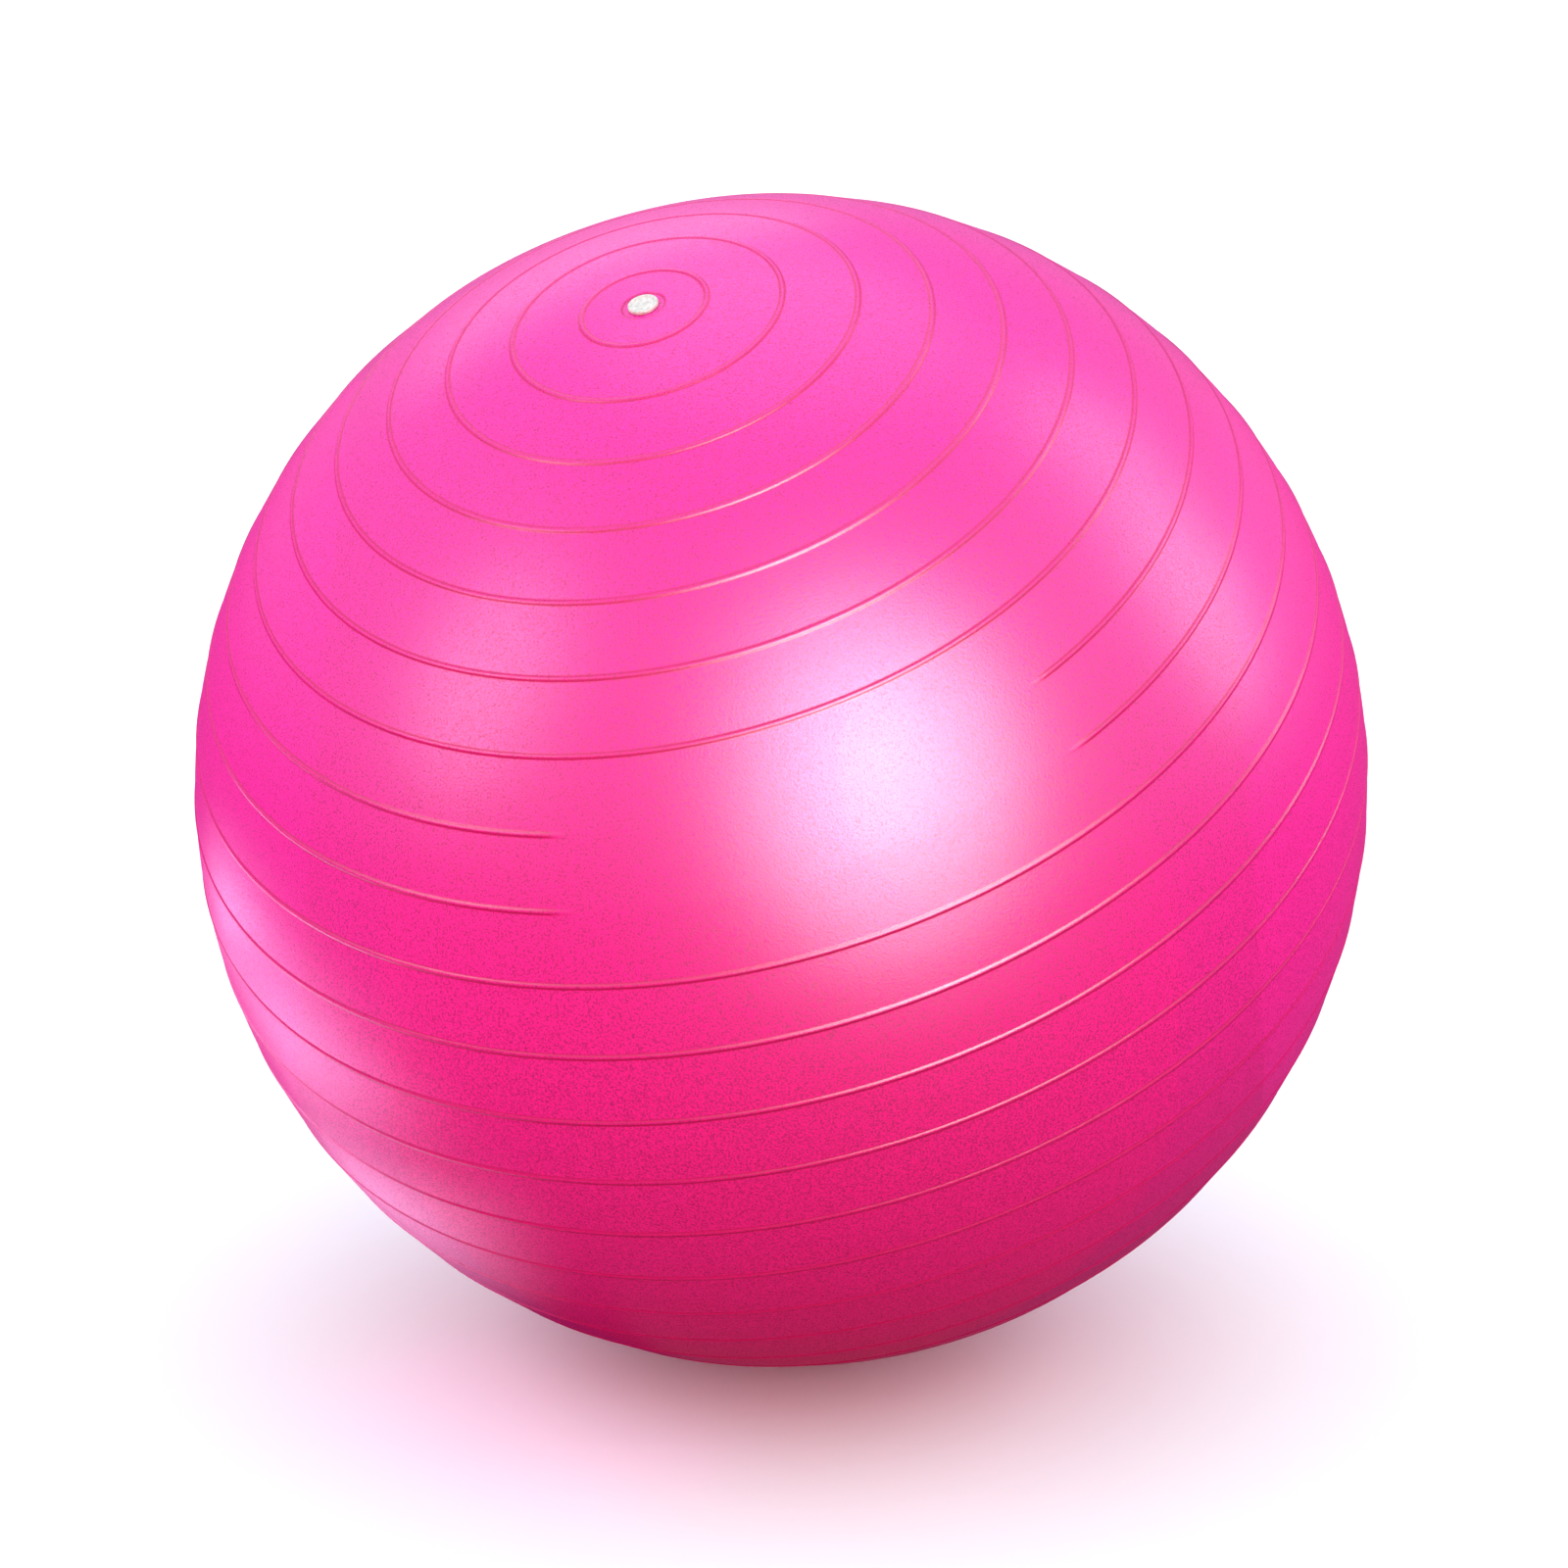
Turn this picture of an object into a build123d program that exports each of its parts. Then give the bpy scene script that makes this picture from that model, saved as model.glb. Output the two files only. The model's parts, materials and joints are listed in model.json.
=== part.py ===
from build123d import *
from math import cos, radians, sin, sqrt
import os

# An inflated exercise ball at rest on a floor. Millimetres, +Z up.
# The origin is the centre of the small flat that the ball's weight presses into its skin.
# The air valve leans away from straight up, and every rib is a circle round the valve's axis.

# Ball
ball_radius = 325.0
skin_thickness = 0.8
floor_patch_radius = 27.0

# Where the valve and the plain panel face
valve_lean = 22.1
valve_heading = 233.7
panel_heading = -86.1
panel_height_angle = 15.3

# Ribs: raised beads, equally spaced from one pole to the other
rib_count = 25
first_rib_angle = 6.0
rib_pitch = 7.0
rib_width = 3.0
rib_height = 0.6
panel_ribs = (7, 8)
panel_gap_angle = 57.0

# Valve insert, fused into a round hole in the skin
insert_radius = 12.5
insert_edge_width = 1.0
seat_depth = 1.0
flange_radius = 18.0
flange_thickness = 1.6
boss_radius = 8.6
boss_tip_radius = 7.8
boss_fillet = 1.2
boss_length = 15.0
bore_mouth_radius = 4.9
bore_tip_radius = 4.3
bore_lead_in = 0.6

# Air plug
plug_head_radius = 8.25
plug_head_thickness = 2.3
plug_head_rounding = 0.9
plug_dish_radius = 6.3
plug_dish_depth = 0.5
plug_stem_length = 14.0
plug_stem_radius = 3.7
plug_tip_radius = 3.0
plug_tip_chamfer = 0.7
plug_core_radius = 1.7
plug_core_depth = 10.0
barb_depths = (4.0, 7.5, 11.0)
barb_length = 2.0
running_clearance = 0.05

# The ball's centre stands a little less than its radius above the floor.
centre_height = sqrt(ball_radius**2 - floor_patch_radius**2)
centre = Vector(0, 0, centre_height)

# A bead's section is a circle that stands rib_height proud and meets the ball over rib_width.
bead_radius = ((rib_width / 2) ** 2 + rib_height**2) / (2 * rib_height)
bead_centre_radius = ball_radius + rib_height - bead_radius


def direction(heading, angle_from_vertical):
    """Unit vector at a heading about +Z, counted from +X, and an angle down from +Z."""
    flat = sin(radians(angle_from_vertical))
    return Vector(
        flat * cos(radians(heading)),
        flat * sin(radians(heading)),
        cos(radians(angle_from_vertical)),
    )


valve_direction = direction(valve_heading, valve_lean)
panel_direction = direction(panel_heading, 90 - panel_height_angle)

# Frame of the valve: Z leaves the ball through the valve, X turns towards the plain panel.
towards_panel = panel_direction - valve_direction * panel_direction.dot(valve_direction)
valve_frame = Plane(origin=centre, x_dir=towards_panel, z_dir=valve_direction)
valve_axis = Axis(centre, valve_direction)


def meridian(angle):
    """Plane through the valve's axis: sketch Y runs along the axis and X points away from it."""
    outward = valve_frame.x_dir.rotate(Axis((0, 0, 0), valve_direction), angle)
    return Plane(origin=centre, x_dir=outward, z_dir=outward.cross(valve_direction))


def bead_place(rib):
    """Centre of one rib's section in a meridian sketch."""
    angle = radians(first_rib_angle + rib * rib_pitch)
    return (bead_centre_radius * sin(angle), bead_centre_radius * cos(angle))


def height_on_sphere(radius, distance):
    """Height above the ball's centre of a sphere, at a distance from the valve's axis."""
    return sqrt(radius**2 - distance**2)


# ---- Ball skin: one closed hollow moulding with its ribs ----
whole_ribs = [rib for rib in range(rib_count) if rib not in panel_ribs]
inner_radius = ball_radius - skin_thickness
inner_patch_height = centre_height - skin_thickness

with BuildPart() as ball_skin:
    with BuildSketch(meridian(0)):
        Circle(ball_radius)
        with Locations([bead_place(rib) for rib in whole_ribs]):
            Circle(bead_radius)
        with Locations((ball_radius, 0)):
            Rectangle(2 * ball_radius, 4 * ball_radius, mode=Mode.INTERSECT)
    revolve(axis=valve_axis)
    # The ribs that stop short of the plain panel on both sides
    with BuildSketch(meridian(panel_gap_angle / 2)):
        with Locations([bead_place(rib) for rib in panel_ribs]):
            Circle(bead_radius)
    revolve(axis=valve_axis, revolution_arc=360 - panel_gap_angle)
    # The flat where the ball stands
    split(bisect_by=Plane.XY, keep=Keep.TOP)
    # The air space, flattened over the same patch
    with BuildSketch(Plane.XZ):
        with Locations((0, centre_height)):
            Circle(inner_radius)
        with Locations((inner_radius, centre_height + inner_radius - inner_patch_height)):
            Rectangle(2 * inner_radius, 2 * inner_radius, mode=Mode.INTERSECT)
    revolve(axis=Axis.Z, mode=Mode.SUBTRACT)
    # The round hole that holds the valve insert
    with BuildSketch(valve_frame):
        Circle(insert_radius)
    extrude(amount=2 * ball_radius, mode=Mode.SUBTRACT)
ball_skin.part.label = "ball_skin"

# ---- Valve insert: dished disc, flange under the skin and a tapered boss with the bore ----
seat_height = ball_radius - seat_depth
edge_top = height_on_sphere(ball_radius, insert_radius)
edge_bottom = height_on_sphere(inner_radius, insert_radius)
flange_top = height_on_sphere(inner_radius, flange_radius)
flange_middle_distance = (insert_radius + flange_radius) / 2
flange_middle_top = height_on_sphere(inner_radius, flange_middle_distance)
flange_bottom = flange_top - flange_thickness
boss_end = seat_height - boss_length

with BuildPart() as valve_insert:
    with BuildSketch(meridian(0)) as insert_section:
        with BuildLine():
            mouth = Polyline(
                (bore_mouth_radius + bore_lead_in, seat_height),
                (insert_radius - insert_edge_width, seat_height),
                (insert_radius, edge_top),
                (insert_radius, edge_bottom),
            )
            under_skin = ThreePointArc(
                mouth @ 1,
                (flange_middle_distance, flange_middle_top),
                (flange_radius, flange_top),
            )
            Polyline(
                under_skin @ 1,
                (flange_radius, flange_bottom),
                (boss_radius, flange_bottom),
                (boss_tip_radius, boss_end),
                (bore_tip_radius, boss_end),
                (bore_mouth_radius, seat_height - bore_lead_in),
                mouth @ 0,
            )
        make_face()
        boss_root = insert_section.vertices().sort_by_distance((boss_radius, flange_bottom))[0]
        fillet(boss_root, boss_fillet)
    revolve(axis=valve_axis)
valve_insert.part.label = "valve_insert"


def bore_radius_at(depth):
    """Radius of the valve's tapered bore at a depth below the seat."""
    taper = (bore_mouth_radius - bore_tip_radius) / (boss_length - bore_lead_in)
    return bore_mouth_radius - taper * (depth - bore_lead_in)


# ---- Air plug: dished head on a barbed stem, cored from its tip ----
head_top = seat_height + plug_head_thickness
stem_end = seat_height - plug_stem_length

with BuildPart() as air_plug:
    with BuildSketch(meridian(0)):
        with BuildLine():
            Polyline(
                (0, seat_height),
                (plug_head_radius, seat_height),
                (plug_head_radius, head_top - plug_head_rounding),
                (plug_head_radius - plug_head_rounding, head_top),
                (plug_dish_radius, head_top),
                (plug_dish_radius - plug_dish_depth, head_top - plug_dish_depth),
                (0, head_top - plug_dish_depth),
                close=True,
            )
        make_face()
    revolve(axis=valve_axis)
    with BuildSketch(meridian(0)):
        with BuildLine():
            Polyline(
                (0, seat_height),
                (plug_stem_radius, seat_height),
                (plug_tip_radius, stem_end + plug_tip_chamfer),
                (plug_tip_radius - plug_tip_chamfer, stem_end),
                (0, stem_end),
                close=True,
            )
        make_face()
        for depth in barb_depths:
            barb_radius = bore_radius_at(depth) - running_clearance
            with BuildLine():
                Polyline(
                    (0, seat_height - depth),
                    (barb_radius, seat_height - depth),
                    (plug_tip_radius, seat_height - depth - barb_length),
                    (0, seat_height - depth - barb_length),
                    close=True,
                )
            make_face()
    revolve(axis=valve_axis)
    with BuildSketch(valve_frame.offset(stem_end)):
        Circle(plug_core_radius)
    extrude(amount=plug_core_depth, mode=Mode.SUBTRACT)
air_plug.part.label = "air_plug"

os.makedirs("parts", exist_ok=True)
export_step(ball_skin.part, "parts/ball_skin.step")
export_step(valve_insert.part, "parts/valve_insert.step")
export_step(air_plug.part, "parts/air_plug.step")
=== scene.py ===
"""Looks of an inflated, ribbed exercise ball with a push-in air plug. Metres, +Z up."""

import json
from math import asin, cos, exp, log, pi, radians, sin, sqrt, tan

import bpy
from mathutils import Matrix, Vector


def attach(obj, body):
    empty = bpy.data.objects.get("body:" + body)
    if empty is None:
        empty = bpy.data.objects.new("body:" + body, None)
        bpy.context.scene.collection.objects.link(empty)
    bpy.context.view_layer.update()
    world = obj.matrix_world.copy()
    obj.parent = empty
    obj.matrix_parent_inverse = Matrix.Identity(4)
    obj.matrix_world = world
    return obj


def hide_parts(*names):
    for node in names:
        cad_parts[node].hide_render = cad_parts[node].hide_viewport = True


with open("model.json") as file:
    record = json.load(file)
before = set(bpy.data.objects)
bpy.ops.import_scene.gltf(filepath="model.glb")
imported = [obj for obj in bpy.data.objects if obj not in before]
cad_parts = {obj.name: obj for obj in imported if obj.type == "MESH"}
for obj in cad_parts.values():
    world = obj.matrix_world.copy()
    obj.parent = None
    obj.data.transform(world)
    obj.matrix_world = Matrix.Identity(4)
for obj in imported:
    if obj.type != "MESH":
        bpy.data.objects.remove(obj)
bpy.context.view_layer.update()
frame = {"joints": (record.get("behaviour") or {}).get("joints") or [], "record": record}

MM = 0.001

# Ball
BALL_RADIUS = 325 * MM
SKIN_THICKNESS = 0.8 * MM
FLOOR_PATCH_RADIUS = 27 * MM

# The plain panel faces this way: heading about +Z from +X, and angle above the horizon
PANEL_HEADING = -86.1
PANEL_HEIGHT_ANGLE = 15.3

# Ribs
RIB_COUNT = 25
FIRST_RIB_ANGLE = 6.0
RIB_PITCH = 7.0
RIB_WIDTH = 3.0 * MM
RIB_HEIGHT = 0.6 * MM
RIB_FOOT_BLEND = 0.05 * MM
RIB_END_TAPER = 7 * MM
PANEL_RIBS = (7, 8)
PANEL_GAP_ANGLE = 57.0

# Painted shade along the ribs, dark beside their crests and faint on them: distances from a rib's
# middle, in halves of its width
CREST_SHADE = 0.1
PAINTED_SHADE_START = 0.8
PAINTED_SHADE_END = 1.45

# Valve insert
INSERT_RADIUS = 12.5 * MM
INSERT_EDGE_WIDTH = 1.0 * MM
SEAT_DEPTH = 1.0 * MM
FLANGE_RADIUS = 18.0 * MM
FLANGE_THICKNESS = 1.6 * MM
BOSS_RADIUS = 8.6 * MM
BOSS_TIP_RADIUS = 7.8 * MM
BOSS_LENGTH = 15.0 * MM
BORE_MOUTH_RADIUS = 4.9 * MM
BORE_TIP_RADIUS = 4.3 * MM
BORE_MOUTH_ROUNDING = 0.6 * MM
SEAT_EDGE_ROUNDING = 0.4 * MM
FLANGE_TOP_ROUNDING = 0.3 * MM
FLANGE_UNDER_ROUNDING = 0.6 * MM
BOSS_ROOT_ROUNDING = 1.2 * MM
BOSS_TIP_ROUNDING = 0.8 * MM
BORE_TIP_ROUNDING = 0.5 * MM

# Air plug
HEAD_RADIUS = 8.25 * MM
HEAD_THICKNESS = 2.3 * MM
DISH_RADIUS = 6.3 * MM
DISH_DEPTH = 0.5 * MM
STEM_LENGTH = 14.0 * MM
STEM_RADIUS = 3.7 * MM
STEM_TIP_RADIUS = 3.0 * MM
CORE_RADIUS = 1.7 * MM
CORE_DEPTH = 10.0 * MM
BARB_DEPTHS = (4.0 * MM, 7.5 * MM, 11.0 * MM)
BARB_LENGTH = 2.0 * MM
BARB_CLEARANCE = 0.05 * MM
BARB_NECK_INSET = 0.3 * MM
STEM_TIP_INSET = 0.2 * MM
DISH_ROUNDING = 1.2 * MM
DISH_RIM_ROUNDING = 0.35 * MM
HEAD_ROUNDING = 0.9 * MM
HEAD_UNDER_ROUNDING = 0.6 * MM
STEM_ROOT_ROUNDING = 0.4 * MM
BARB_NECK_ROUNDING = 0.15 * MM
BARB_EDGE_ROUNDING = 0.2 * MM
BARB_END_ROUNDING = 0.3 * MM
STEM_TIP_ROUNDING = 0.6 * MM
CORE_MOUTH_ROUNDING = 0.3 * MM
CORE_END_ROUNDING = 0.8 * MM

# Painted shade in the plug's seat: on its wall and under the edge of the plug's head.
# Between the two rings the seat's floor has none.
SEAT_INNER_RING = HEAD_RADIUS + 0.5 * MM
SEAT_OUTER_RING = INSERT_RADIUS - INSERT_EDGE_WIDTH - 0.8 * MM
HEAD_SHADE_END = HEAD_RADIUS + 0.4 * MM
WALL_SHADE_START = INSERT_RADIUS - INSERT_EDGE_WIDTH - 0.3 * MM
WALL_SHADE_END = INSERT_RADIUS - 0.1 * MM

# Pink vinyl
GRAIN_PER_METRE = 880
GRAIN_DETAIL = 1.0
GRAIN_RANGE = (0.30, 0.62)
GRAIN_BUMP = 0.09 * MM
VINYL_SPECK = (0.54, 0.002, 0.22)
VINYL_FACE = (0.97, 0.026, 0.42)
# Painted shade: the darker colour by the ribs and in the plug's seat, and how much of it shows
VINYL_PAINTED_SHADE = (0.52, 0, 0.13)
VINYL_PAINTED_SHADE_SHARE = 0.9
VINYL_ROUGHNESS = (0.42, 0.26)
VINYL_IOR = 1.5

# White plastic
MOTTLE_PER_METRE = 420
MOTTLE_DETAIL = 3.0
MOTTLE_RANGE = (0.40, 0.60)
MOTTLE_BUMP = 0.05 * MM
PLASTIC_DARK = (0.48, 0.53, 0.49)
PLASTIC_LIGHT = (0.66, 0.68, 0.65)
PLASTIC_ROUGHNESS = (0.3, 0.42)
PLASTIC_SUBSURFACE = 0.15
PLASTIC_SUBSURFACE_DEPTH = 1 * MM

# Noise values that give the two ends of a material's roughness
ROUGHNESS_RANGE = (0.3, 0.7)

# Places of a Mix node's sockets when it mixes colours
MIX_FIRST, MIX_SECOND, MIX_RESULT = 6, 7, 2

# Mesh fineness
SKIN_COLUMNS = 240
INNER_ROWS = 24
ROWS_BETWEEN_RIBS = 3
ROWS_BESIDE_CREST = (0.35, 0.7, 0.97, 1.25, 1.6)
LATHE_COLUMNS = 96
CORNER_STEPS = 5
SKIN_SHARP_ANGLE = 60
LATHE_SHARP_ANGLE = 40

# Camera, as it stands to the ball
CAMERA_HEADING = -90.0
CAMERA_ELEVATION = 20.0
CAMERA_DISTANCE = 10.3 * BALL_RADIUS
CAMERA_LENS_MM = 138.0
CAMERA_SENSOR_MM = 36.0
CAMERA_SHIFT = (0.0018, -0.0024)

# Studio
FLOOR_HALF_SIDE = 60.0
BACKDROP_RADIUS = 50.0
BACKDROP_SIDES = 64
FLOOR_SEEN = (0.87, 0.98, 0.98)
# Painted shade: a dark copy of the floor that lights the ball from below
FLOOR_BOUNCE_SHADE = (0.08, 0.08, 0.08)
FLOOR_GAP = 1 * MM
FLOOR_CARD_HEIGHT = 2 * MM
FLOOR_CARD_COLOUR = (1.0, 0.62, 1.0)
FLOOR_CARD_FADE_START = 0.15
GLOW_HEIGHT = 50 * MM
GLOW_COLOUR = (1.0, 0.03, 0.6)
DOME_ABOVE = (0.35, 0.4, 0.4)
DOME_BELOW = (0.05, 0.05, 0.05)
DOME_BLEND = (-0.15, 0.0)
FILL_SPREAD = 100.0
SOFTBOX_DISTANCE = 2.3

UP = Vector((0, 0, 1))


def direction(heading, height_angle):
    """Unit vector at a heading about +Z, counted from +X, and an angle above the horizon."""
    flat = cos(radians(height_angle))
    return Vector((
        flat * cos(radians(heading)),
        flat * sin(radians(heading)),
        sin(radians(height_angle)),
    ))


floor_patch = next(m for m in frame["record"]["mounts"] if m["name"] == "floor_patch")
plug_pull = next(j for j in frame["joints"] if j["name"] == "plug_pull")
FLOOR = Vector(floor_patch["pos_m"])
CENTRE = FLOOR + UP * sqrt(BALL_RADIUS**2 - FLOOR_PATCH_RADIUS**2)
VALVE = Vector(plug_pull["axis"]).normalized()
panel = direction(PANEL_HEADING, PANEL_HEIGHT_ANGLE)
TOWARDS_PANEL = (panel - VALVE * panel.dot(VALVE)).normalized()
SIDEWAYS = VALVE.cross(TOWARDS_PANEL)


# ---------------------------------------------------------------- camera


def add_camera():
    back = direction(CAMERA_HEADING, CAMERA_ELEVATION)
    data = bpy.data.cameras.new("camera")
    data.sensor_width = CAMERA_SENSOR_MM
    data.lens = CAMERA_LENS_MM
    data.shift_x, data.shift_y = CAMERA_SHIFT
    camera = bpy.data.objects.new("camera", data)
    camera.location = CENTRE + back * CAMERA_DISTANCE
    camera.rotation_euler = (-back).to_track_quat("-Z", "Y").to_euler()
    bpy.context.scene.collection.objects.link(camera)
    bpy.context.scene.camera = camera


# ---------------------------------------------------------------- meshes


def around_valve(across, along, turn):
    """Point at a distance from the valve's axis, a height along it and an angle about it."""
    outward = TOWARDS_PANEL * cos(turn) + SIDEWAYS * sin(turn)
    return CENTRE + VALVE * along + outward * across


def add_mesh(name, vertices, faces, sharp_angle):
    mesh = bpy.data.meshes.new(name)
    mesh.from_pydata(vertices, [], faces)
    mesh.update()
    mesh.shade_smooth()
    mesh.set_sharp_from_angle(angle=radians(sharp_angle))
    piece = bpy.data.objects.new(name, mesh)
    bpy.context.scene.collection.objects.link(piece)
    return piece


def ring_faces(upper, lower, columns):
    """Faces between two rings of vertices, each given by its first index, seen from outside."""
    faces = []
    for column in range(columns):
        after = (column + 1) % columns
        faces.append((upper + column, lower + column, lower + after, upper + after))
    return faces


def lathe(name, outline, closed):
    """Turns an outline of (across, along) points about the valve's axis into a closed mesh.

    A closed outline makes a ring. An open one starts and ends on the axis.
    """
    vertices, faces, rings = [], [], []
    for across, along in outline:
        rings.append(len(vertices))
        if across == 0:
            vertices.append(around_valve(0, along, 0))
            continue
        for column in range(LATHE_COLUMNS):
            vertices.append(around_valve(across, along, 2 * pi * column / LATHE_COLUMNS))
    pairs = list(zip(range(len(outline)), range(1, len(outline))))
    if closed:
        pairs.append((len(outline) - 1, 0))
    for first, second in pairs:
        if outline[first][0] == 0:
            for face in ring_faces(rings[first], rings[second], LATHE_COLUMNS):
                faces.append((rings[first], face[1], face[2]))
        elif outline[second][0] == 0:
            for face in ring_faces(rings[first], rings[second], LATHE_COLUMNS):
                faces.append((face[0], rings[second], face[3]))
        else:
            faces.extend(ring_faces(rings[first], rings[second], LATHE_COLUMNS))
    return add_mesh(name, vertices, faces, LATHE_SHARP_ANGLE)


def rounded(corners, closed):
    """Outline through (across, along, radius) corners, each with a radius turned into an arc."""
    outline = []
    for index, (across, along, radius) in enumerate(corners):
        here = Vector((across, along))
        is_end = not closed and index in (0, len(corners) - 1)
        if radius == 0 or is_end:
            outline.append((across, along))
            continue
        before = Vector(corners[index - 1][:2])
        after = Vector(corners[(index + 1) % len(corners)][:2])
        to_before = (before - here).normalized()
        to_after = (after - here).normalized()
        half_angle = to_before.angle(to_after) / 2
        reach = radius / tan(half_angle)
        middle = here + (to_before + to_after).normalized() * radius / sin(half_angle)
        start = here + to_before * reach - middle
        end = here + to_after * reach - middle
        sweep = start.angle(end)
        for step in range(CORNER_STEPS + 1):
            share = step / CORNER_STEPS
            spoke = (start * sin((1 - share) * sweep) + end * sin(share * sweep)) / sin(sweep)
            outline.append(tuple(middle + spoke))
    return outline


# ---------------------------------------------------------------- ball skin


def bead_height(distance):
    """Height of a rib at a distance from its middle: an arc that runs softly into the skin."""
    half_width = RIB_WIDTH / 2
    arc_radius = (half_width**2 + RIB_HEIGHT**2) / (2 * RIB_HEIGHT)
    arc = sqrt(max(0, arc_radius**2 - distance**2)) - (arc_radius - RIB_HEIGHT)
    return RIB_FOOT_BLEND * log(1 + exp(arc / RIB_FOOT_BLEND))


def painted_shade(distance):
    """How much painted shade darkens the skin near a rib: full at the rib's base, less on its
    crest, none a little way off.
    """
    across = abs(distance) / (RIB_WIDTH / 2)
    on_rib = CREST_SHADE + (1 - CREST_SHADE) * across / PAINTED_SHADE_START
    beside = (PAINTED_SHADE_END - across) / (PAINTED_SHADE_END - 1)
    return max(0, min(1, on_rib, beside))


def rib_presence(rib, turn):
    """1 where a rib is whole, 0 on the plain panel, with a short taper between."""
    if rib not in PANEL_RIBS:
        return 1
    from_middle = abs((turn + pi) % (2 * pi) - pi)
    ring_radius = BALL_RADIUS * sin(radians(FIRST_RIB_ANGLE + rib * RIB_PITCH))
    past_end = (from_middle - radians(PANEL_GAP_ANGLE / 2)) * ring_radius
    share = min(1, max(0, past_end / RIB_END_TAPER))
    return share * share * (3 - 2 * share)


def skin_rows():
    """(polar angle, rib or None, distance from the rib's middle) for each row of the outer skin."""
    beside = [part * RIB_WIDTH / 2 for part in ROWS_BESIDE_CREST]
    offsets = [-offset for offset in reversed(beside)] + [0] + beside
    edge = asin(INSERT_RADIUS / BALL_RADIUS)
    rows = [(edge, None, 0)]
    last = edge
    for rib in range(RIB_COUNT):
        middle = radians(FIRST_RIB_ANGLE + rib * RIB_PITCH)
        first = middle + offsets[0] / BALL_RADIUS
        for step in range(1, ROWS_BETWEEN_RIBS):
            rows.append((last + (first - last) * step / ROWS_BETWEEN_RIBS, None, 0))
        for offset in offsets:
            rows.append((middle + offset / BALL_RADIUS, rib, offset))
        last = middle + offsets[-1] / BALL_RADIUS
    for step in range(1, ROWS_BETWEEN_RIBS):
        rows.append((last + (pi - last) * step / ROWS_BETWEEN_RIBS, None, 0))
    return rows


def on_sphere(radius, polar, turn, lowest):
    """Point of a sphere round the ball's centre, pressed flat where it would be below lowest."""
    point = around_valve(radius * sin(polar), radius * cos(polar), turn)
    point.z = max(point.z, lowest)
    return point


def ball_skin():
    """Closed shell: outer wall with its ribs, the edge of the valve's hole, and the inner wall.

    The outer wall runs up from the far pole to the hole, and the inner wall runs down again.
    """
    inner_radius = BALL_RADIUS - SKIN_THICKNESS
    turns = [2 * pi * column / SKIN_COLUMNS for column in range(SKIN_COLUMNS)]
    vertices, faces, painted_shades = [], [], [0]
    vertices.append(on_sphere(BALL_RADIUS, pi, 0, FLOOR.z))
    for polar, rib, offset in reversed(skin_rows()):
        for turn in turns:
            presence = 0 if rib is None else rib_presence(rib, turn)
            radius = BALL_RADIUS + bead_height(offset) * presence
            vertices.append(on_sphere(radius, polar, turn, FLOOR.z))
            # Painted shade by the rib, kept for the vinyl's colour
            painted_shades.append(painted_shade(offset) * presence)
    hole = asin(INSERT_RADIUS / inner_radius)
    for row in range(INNER_ROWS):
        polar = hole + (pi - hole) * row / INNER_ROWS
        for turn in turns:
            vertices.append(on_sphere(inner_radius, polar, turn, FLOOR.z + SKIN_THICKNESS))
    vertices.append(on_sphere(inner_radius, pi, 0, FLOOR.z + SKIN_THICKNESS))
    ring_count = (len(vertices) - 2) // SKIN_COLUMNS
    last = len(vertices) - 1
    for ring in range(ring_count - 1):
        first = 1 + ring * SKIN_COLUMNS
        faces.extend(ring_faces(first + SKIN_COLUMNS, first, SKIN_COLUMNS))
    for face in ring_faces(1, 0, SKIN_COLUMNS):
        faces.append((face[0], 0, face[3]))
    last_ring = 1 + (ring_count - 1) * SKIN_COLUMNS
    for face in ring_faces(0, last_ring, SKIN_COLUMNS):
        faces.append((last, face[1], face[2]))
    skin = add_mesh("skin", vertices, faces, SKIN_SHARP_ANGLE)
    keep_painted_shade(skin, painted_shades)
    return skin


def keep_painted_shade(piece, painted_shades):
    """Keeps a painted shade number at each vertex, which darkens the vinyl's colour."""
    values = piece.data.attributes.new("painted_shade", "FLOAT", "POINT").data
    for index, value in enumerate(painted_shades):
        values[index].value = value


# ---------------------------------------------------------------- valve


def height_on_sphere(radius, across):
    """Height above the ball's centre of a sphere, at a distance from the valve's axis."""
    return sqrt(radius**2 - across**2)


SEAT = BALL_RADIUS - SEAT_DEPTH


def valve_insert():
    inner_radius = BALL_RADIUS - SKIN_THICKNESS
    flange_top = height_on_sphere(inner_radius, FLANGE_RADIUS)
    boss_end = SEAT - BOSS_LENGTH
    corners = [
        (BORE_MOUTH_RADIUS, SEAT, BORE_MOUTH_ROUNDING),
        (HEAD_RADIUS, SEAT, 0),
        (SEAT_INNER_RING, SEAT, 0),
        (SEAT_OUTER_RING, SEAT, 0),
        (INSERT_RADIUS - INSERT_EDGE_WIDTH, SEAT, SEAT_EDGE_ROUNDING),
        (INSERT_RADIUS, height_on_sphere(BALL_RADIUS, INSERT_RADIUS), 0),
        (INSERT_RADIUS, height_on_sphere(inner_radius, INSERT_RADIUS), 0),
        (FLANGE_RADIUS, flange_top, FLANGE_TOP_ROUNDING),
        (FLANGE_RADIUS, flange_top - FLANGE_THICKNESS, FLANGE_UNDER_ROUNDING),
        (BOSS_RADIUS, flange_top - FLANGE_THICKNESS, BOSS_ROOT_ROUNDING),
        (BOSS_TIP_RADIUS, boss_end, BOSS_TIP_ROUNDING),
        (BORE_TIP_RADIUS, boss_end, BORE_TIP_ROUNDING),
    ]
    collar = lathe("valve_collar", rounded(corners, True), True)
    # Painted shade on the seat's wall and under the plug's head
    keep_painted_shade(collar, [seat_painted_shade(vertex.co) for vertex in collar.data.vertices])
    return collar


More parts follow.
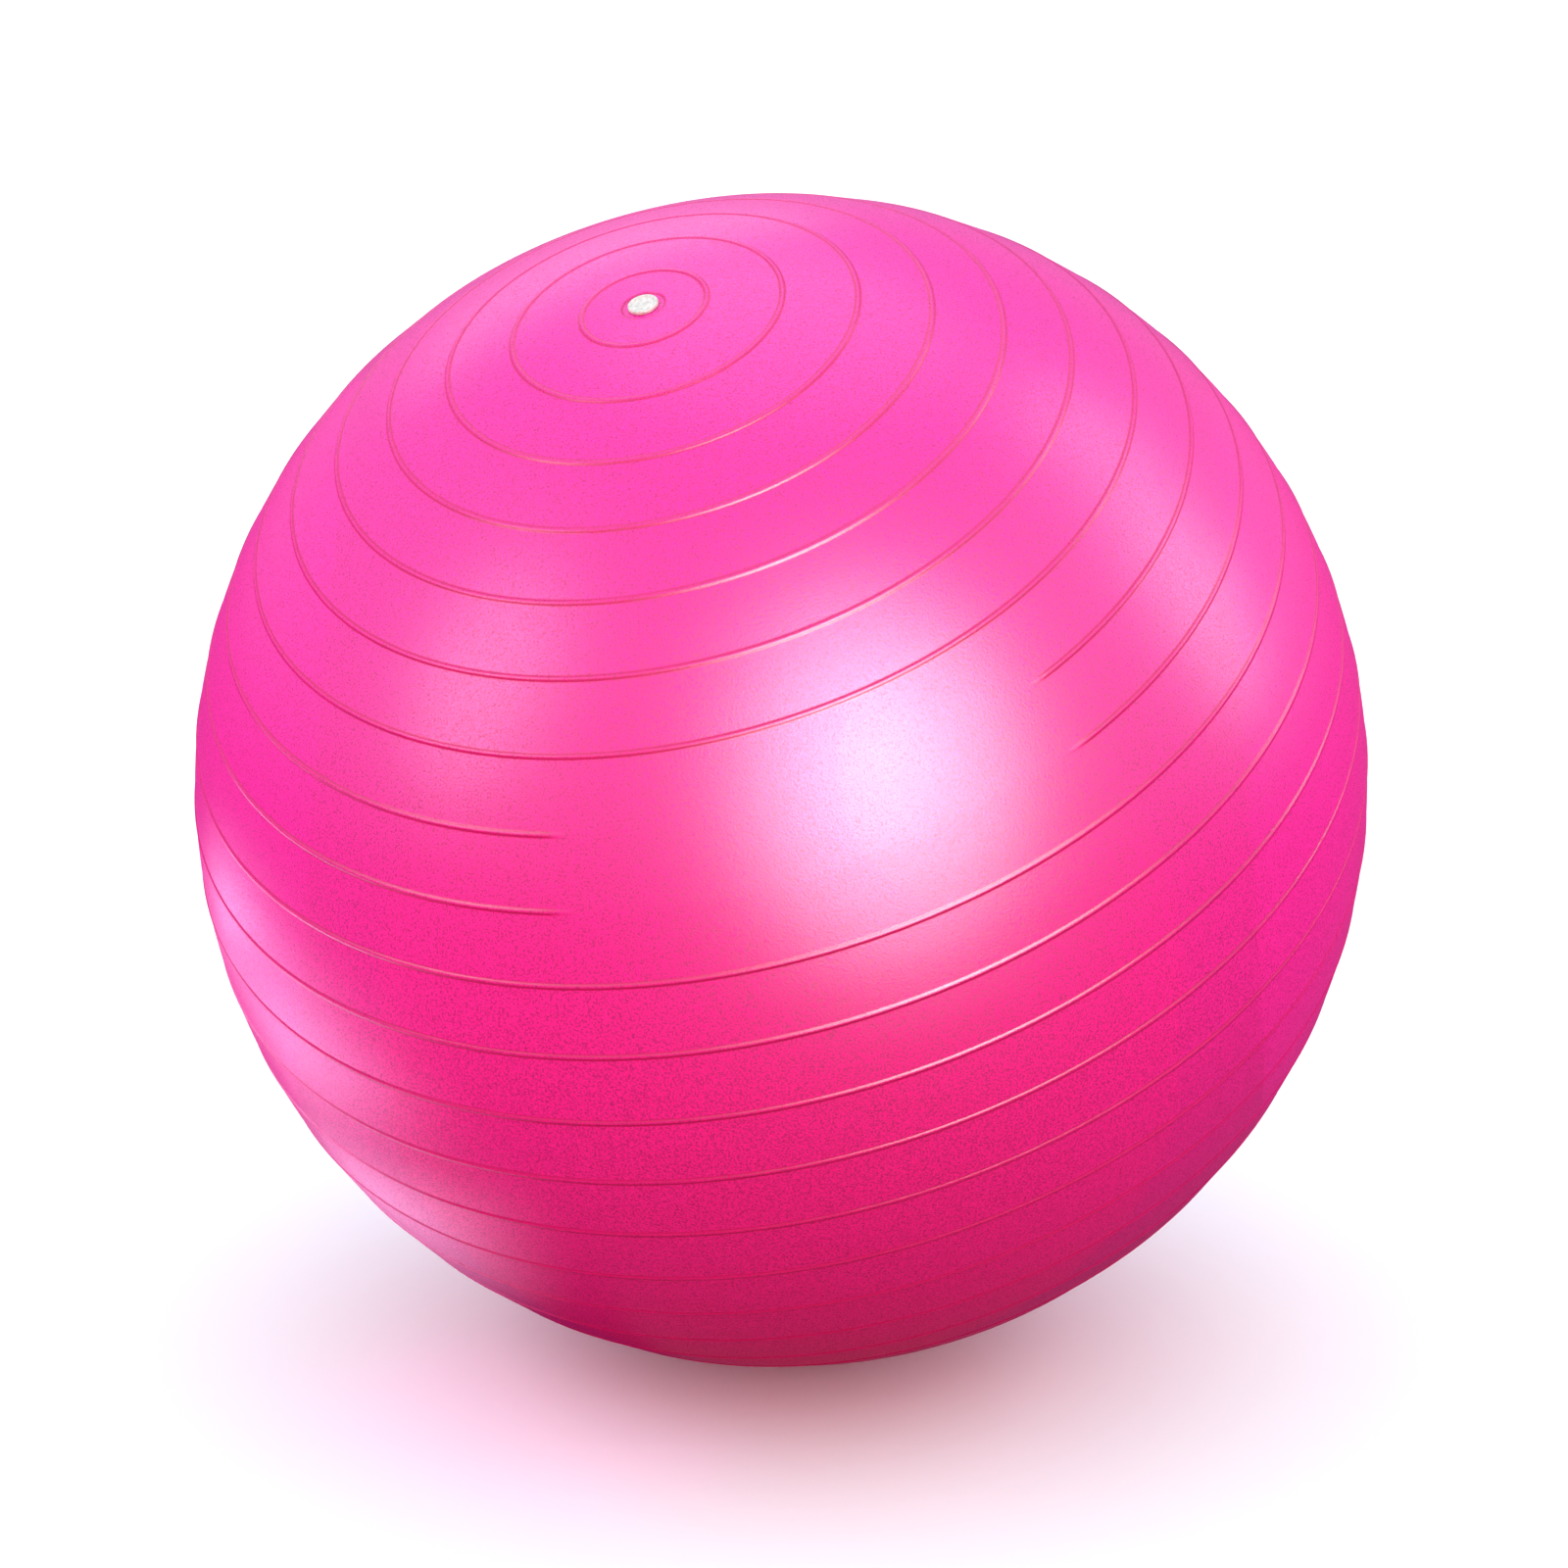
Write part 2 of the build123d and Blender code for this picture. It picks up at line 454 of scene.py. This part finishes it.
def seat_painted_shade(point):
    """1 where shade is painted on the wall of the plug's seat and under the edge of the plug's
    head, 0 elsewhere.
    """
    from_centre = point - CENTRE
    along = from_centre.dot(VALVE)
    across = (from_centre - VALVE * along).length
    on_wall = WALL_SHADE_START < across < WALL_SHADE_END
    under_head = across < HEAD_SHADE_END
    return 1 if on_wall or under_head else 0


def bore_radius_at(depth):
    """Radius of the valve's tapered bore at a depth below the seat."""
    return BORE_MOUTH_RADIUS - (BORE_MOUTH_RADIUS - BORE_TIP_RADIUS) * depth / BOSS_LENGTH


def air_plug():
    top = SEAT + HEAD_THICKNESS
    tip = SEAT - STEM_LENGTH
    corners = [
        (0, top - DISH_DEPTH, 0),
        (DISH_RADIUS - DISH_DEPTH, top - DISH_DEPTH, DISH_ROUNDING),
        (DISH_RADIUS, top, DISH_RIM_ROUNDING),
        (HEAD_RADIUS, top, HEAD_ROUNDING),
        (HEAD_RADIUS, SEAT, HEAD_UNDER_ROUNDING),
        (STEM_RADIUS, SEAT, STEM_ROOT_ROUNDING),
    ]
    for depth in BARB_DEPTHS:
        barb_radius = bore_radius_at(depth) - BARB_CLEARANCE
        corners += [
            (STEM_RADIUS - BARB_NECK_INSET, SEAT - depth, BARB_NECK_ROUNDING),
            (barb_radius, SEAT - depth, BARB_EDGE_ROUNDING),
            (STEM_TIP_RADIUS, SEAT - depth - BARB_LENGTH, BARB_END_ROUNDING),
        ]
    corners += [
        (STEM_TIP_RADIUS - STEM_TIP_INSET, tip, STEM_TIP_ROUNDING),
        (CORE_RADIUS, tip, CORE_MOUTH_ROUNDING),
        (CORE_RADIUS, tip + CORE_DEPTH, CORE_END_ROUNDING),
        (0, tip + CORE_DEPTH, 0),
    ]
    return lathe("plug", rounded(corners, False), False)


# ---------------------------------------------------------------- materials


class Nodes:
    """Short-hand for building a node material."""

    def __init__(self, name):
        self.material = bpy.data.materials.new(name)
        self.material.use_nodes = True
        self.tree = self.material.node_tree
        self.shader = self.tree.nodes["Principled BSDF"]
        self.coordinates = self.tree.nodes.new("ShaderNodeTexCoord").outputs["Object"]

    def link(self, output, socket):
        self.tree.links.new(output, socket)

    def noise(self, scale, detail):
        """Noise over the piece: scale is in features per metre."""
        node = self.tree.nodes.new("ShaderNodeTexNoise")
        node.inputs["Scale"].default_value = scale
        node.inputs["Detail"].default_value = detail
        self.link(self.coordinates, node.inputs["Vector"])
        return node.outputs["Fac"]

    def attribute(self, name):
        """Number kept at each vertex of the mesh."""
        node = self.tree.nodes.new("ShaderNodeAttribute")
        node.attribute_name = name
        return node.outputs["Fac"]

    def fade(self, scale, level):
        """Level in the middle of the piece, 0 where its scaled distance from the middle is 1."""
        scaled = self.tree.nodes.new("ShaderNodeVectorMath")
        scaled.operation = "MULTIPLY"
        scaled.inputs[1].default_value = scale
        self.link(self.coordinates, scaled.inputs[0])
        length = self.tree.nodes.new("ShaderNodeVectorMath")
        length.operation = "LENGTH"
        self.link(scaled.outputs["Vector"], length.inputs[0])
        span = (FLOOR_CARD_FADE_START, 1, level, 0)
        return self.span(length.outputs["Value"], *span, kind="SMOOTHSTEP")

    def span(self, value, low, high, to_low, to_high, kind="LINEAR"):
        """Value between low and high, mapped to between to_low and to_high."""
        node = self.tree.nodes.new("ShaderNodeMapRange")
        node.interpolation_type = kind
        for name, number in (
            ("From Min", low),
            ("From Max", high),
            ("To Min", to_low),
            ("To Max", to_high),
        ):
            node.inputs[name].default_value = number
        self.link(value, node.inputs["Value"])
        return node.outputs["Result"]

    def mix(self, factor, first, second):
        """Colour between two colours or outputs."""
        node = self.tree.nodes.new("ShaderNodeMix")
        node.data_type = "RGBA"
        self.link(factor, node.inputs["Factor"])
        for index, colour in ((MIX_FIRST, first), (MIX_SECOND, second)):
            socket = node.inputs[index]
            if isinstance(colour, tuple):
                socket.default_value = (*colour, 1)
            else:
                self.link(colour, socket)
        return node.outputs[MIX_RESULT]

    def bump(self, height, distance):
        node = self.tree.nodes.new("ShaderNodeBump")
        node.inputs["Distance"].default_value = distance
        self.link(height, node.inputs["Height"])
        return node.outputs["Normal"]

    def set(self, name, value):
        """Gives the shader's socket an output, a colour or a number."""
        socket = self.shader.inputs[name]
        if isinstance(value, bpy.types.NodeSocket):
            self.link(value, socket)
        elif isinstance(value, tuple):
            socket.default_value = (*value, 1)
        else:
            socket.default_value = value


def pink_vinyl():
    """Hot pink soft PVC with a satin face, a fine speckled grain and painted shade by the ribs and
    in the plug's seat.
    """
    nodes = Nodes("pink_vinyl")
    grain = nodes.noise(GRAIN_PER_METRE, GRAIN_DETAIL)
    skin = nodes.mix(nodes.span(grain, *GRAIN_RANGE, 0, 1), VINYL_SPECK, VINYL_FACE)
    # Painted shade: the kept numbers mix in a darker colour by the ribs and in the plug's seat
    shade_share = nodes.span(nodes.attribute("painted_shade"), 0, 1, 0, VINYL_PAINTED_SHADE_SHARE)
    nodes.set("Base Color", nodes.mix(shade_share, skin, VINYL_PAINTED_SHADE))
    nodes.set("Roughness", nodes.span(grain, *ROUGHNESS_RANGE, *VINYL_ROUGHNESS))
    nodes.set("IOR", VINYL_IOR)
    nodes.set("Normal", nodes.bump(grain, GRAIN_BUMP))
    return nodes.material


def white_plastic():
    """The plug: milky white soft plastic with faint mottling."""
    nodes = Nodes("white_plastic")
    mottle = nodes.noise(MOTTLE_PER_METRE, MOTTLE_DETAIL)
    patches = nodes.span(mottle, *MOTTLE_RANGE, 0, 1)
    nodes.set("Base Color", nodes.mix(patches, PLASTIC_DARK, PLASTIC_LIGHT))
    nodes.set("Roughness", nodes.span(mottle, *ROUGHNESS_RANGE, *PLASTIC_ROUGHNESS))
    nodes.set("Subsurface Weight", PLASTIC_SUBSURFACE)
    nodes.set("Subsurface Scale", PLASTIC_SUBSURFACE_DEPTH)
    nodes.set("Normal", nodes.bump(mottle, MOTTLE_BUMP))
    return nodes.material


# ---------------------------------------------------------------- studio


def hide_from(piece, *rays):
    """Makes rays of some kinds pass a piece by."""
    for ray in rays:
        setattr(piece, "visible_" + ray, False)


def add_sheet(name, width, depth, place):
    """Level rectangle with its middle at a place."""
    sides = ((-1, -1), (1, -1), (1, 1), (-1, 1))
    corners = [Vector((width * x / 2, depth * y / 2, 0)) for x, y in sides]
    mesh = bpy.data.meshes.new(name)
    mesh.from_pydata(corners, [], [(0, 1, 2, 3)])
    sheet = bpy.data.objects.new(name, mesh)
    sheet.location = place
    bpy.context.scene.collection.objects.link(sheet)
    return sheet


def add_floor():
    """Plain pale floor, far wider than any view of the ball. The ball doesn't mirror it.

    The upper plane is what the camera sees. The lower one is a darker copy, a painted shade that
    only the ball's light sees: it lights the ball from below, dimly.
    """
    hide_from(add_plane("floor", 0, FLOOR_SEEN), "glossy", "diffuse", "shadow")
    hide_from(add_plane("floor_bounce", -FLOOR_GAP, FLOOR_BOUNCE_SHADE), "glossy", "camera", "shadow")


def add_plane(name, height, colour):
    side = 2 * FLOOR_HALF_SIDE
    plane = add_sheet(name, side, side, FLOOR + UP * height)
    nodes = Nodes(name)
    nodes.set("Base Color", colour)
    nodes.set("Roughness", 1)
    nodes.set("Specular IOR Level", 0)
    plane.data.materials.append(nodes.material)
    return plane


def add_backdrop():
    """Plain white wall all round, at the edge of the floor. It lights nothing."""
    bpy.ops.mesh.primitive_cylinder_add(
        vertices=BACKDROP_SIDES, radius=BACKDROP_RADIUS, depth=2 * BACKDROP_RADIUS, location=FLOOR
    )
    backdrop = bpy.context.object
    backdrop.name = "backdrop"
    hide_from(backdrop, "diffuse", "glossy", "transmission", "volume_scatter", "shadow")
    nodes = Nodes("backdrop")
    nodes.set("Base Color", (0, 0, 0))
    nodes.set("Emission Color", (1, 1, 1))
    nodes.set("Emission Strength", 1)
    backdrop.data.materials.append(nodes.material)


def add_world():
    """Pale studio dome above the floor. Under the horizon it is nearly dark."""
    world = bpy.data.worlds.new("studio")
    bpy.context.scene.world = world
    world.use_nodes = True
    tree = world.node_tree
    background = tree.nodes["Background"]
    way = tree.nodes.new("ShaderNodeTexCoord")
    split = tree.nodes.new("ShaderNodeSeparateXYZ")
    tree.links.new(way.outputs["Generated"], split.inputs["Vector"])
    blend = tree.nodes.new("ShaderNodeMapRange")
    blend.interpolation_type = "SMOOTHSTEP"
    blend.inputs["From Min"].default_value, blend.inputs["From Max"].default_value = DOME_BLEND
    tree.links.new(split.outputs["Z"], blend.inputs["Value"])
    mix = tree.nodes.new("ShaderNodeMix")
    mix.data_type = "RGBA"
    mix.inputs[MIX_FIRST].default_value = (*DOME_BELOW, 1)
    mix.inputs[MIX_SECOND].default_value = (*DOME_ABOVE, 1)
    tree.links.new(blend.outputs["Result"], mix.inputs["Factor"])
    tree.links.new(mix.outputs[MIX_RESULT], background.inputs["Color"])


def add_light(name, kind, outward):
    """Light of a kind, shining at the ball from the way that outward points."""
    light = bpy.data.objects.new(name, bpy.data.lights.new(name, kind))
    light.rotation_euler = outward.to_track_quat("Z", "Y").to_euler()
    bpy.context.scene.collection.objects.link(light)
    hide_from(light, "camera")
    return light


def add_fill(name, heading, height_angle, level, colour):
    """Wide, far light for the ball's own colour. It makes no highlight."""
    light = add_light(name, "SUN", direction(heading, height_angle))
    light.data.color = colour
    light.data.angle = radians(FILL_SPREAD)
    light.data.energy = level * pi
    hide_from(light, "glossy")


def add_softbox(name, heading, height_angle, width, height, radiance, colour=(1, 1, 1)):
    """Panel that makes one of the ball's soft highlights."""
    outward = direction(heading, height_angle)
    light = add_light(name, "AREA", outward)
    light.location = CENTRE + outward * SOFTBOX_DISTANCE
    light.data.color = colour
    set_panel(light, width, height, radiance)
    hide_from(light, "diffuse")


def add_floor_card(name, x, y, width, depth, radiance, turn):
    """Glowing card lying on the floor beside the ball, fading to its edges.

    Only the ball's gloss sees it.
    """
    card = add_sheet(name, width, depth, FLOOR + Vector((x, y, FLOOR_CARD_HEIGHT)))
    card.rotation_euler = (0, 0, radians(turn))
    hide_from(card, "camera", "diffuse", "transmission", "volume_scatter", "shadow")
    nodes = Nodes(name)
    nodes.set("Base Color", (0, 0, 0))
    nodes.set("Specular IOR Level", 0)
    nodes.set("Emission Color", FLOOR_CARD_COLOUR)
    nodes.set("Emission Strength", nodes.fade((2 / width, 2 / depth, 0), radiance))
    card.data.materials.append(nodes.material)


def add_glow(name, x, y, width, radiance):
    """Pink light that the ball throws on the floor beside it."""
    light = add_light(name, "AREA", UP)
    light.location = FLOOR + Vector((x, y, GLOW_HEIGHT))
    set_panel(light, width, width, radiance)
    light.data.color = GLOW_COLOUR
    hide_from(light, "glossy")


def set_panel(light, width, height, radiance):
    """Makes an area light an oval that is equally bright at any size."""
    light.data.shape = "ELLIPSE"
    light.data.size = width
    light.data.size_y = height
    area = pi * width * height / 4
    light.data.energy = radiance * area * pi


def add_studio():
    """Angles are headings about +Z from +X and heights above the horizon, as in direction()."""
    add_floor()
    add_backdrop()
    add_world()
    add_fill("fill_front", -90, -5, 0.95, (1.0, 0.22, 0.14))
    add_fill("fill_front_low", -90, -20, 0.6, (1.0, 0.06, 0.06))
    add_fill("fill_top", 0, 90, 0.5, (0.3, 1.0, 1.0))
    add_fill("fill_left", 180, 5, 1.1, (1.0, 0.75, 0.9))
    add_fill("fill_right", 0, 5, 1.1, (1.0, 0.65, 0.8))
    add_fill("fill_back", 90, 18, 0.6, (1.0, 0.7, 0.85))
    add_softbox("key", -71, 20, 2.1, 2.8, 12.5, (1.0, 1.0, 0.92))
    add_softbox("key_core", -72, 21.5, 0.85, 1.2, 13, (1.0, 1.0, 0.92))
    add_softbox("left", -153, 26, 0.9, 1.5, 5.9)
    add_softbox("right_back", 10, 22, 0.8, 1.4, 5.8)
    add_softbox("right_high", 24, 43, 0.7, 1.0, 3.6)
    add_softbox("back_left", 110, 30, 1.8, 0.9, 1.2)
    add_softbox("overhead", 90, 70, 2.0, 2.0, 1.3)
    add_floor_card("floor_card_front", -0.47, -0.03, 0.5, 0.75, 5.6, turn=55)
    add_floor_card("floor_card_left", -0.7, 0.2, 0.55, 1.2, 5.6, turn=20)
    add_glow("glow", -0.14, -0.15, 0.24, 0.22)


# ---------------------------------------------------------------- assembly


def fit(piece, material, body, node):
    """Gives a mesh its material and puts it in the place of a CAD node."""
    piece.data.materials.append(material)
    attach(piece, body)
    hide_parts(node)


def show_colours_plainly():
    bpy.context.scene.view_settings.view_transform = "Standard"
    bpy.context.scene.view_settings.look = "None"


add_camera()
vinyl = pink_vinyl()
fit(ball_skin(), vinyl, "ball", "ball_skin")
fit(valve_insert(), vinyl, "ball", "valve_insert")
fit(air_plug(), white_plastic(), "plug", "air_plug")
add_studio()
show_colours_plainly()
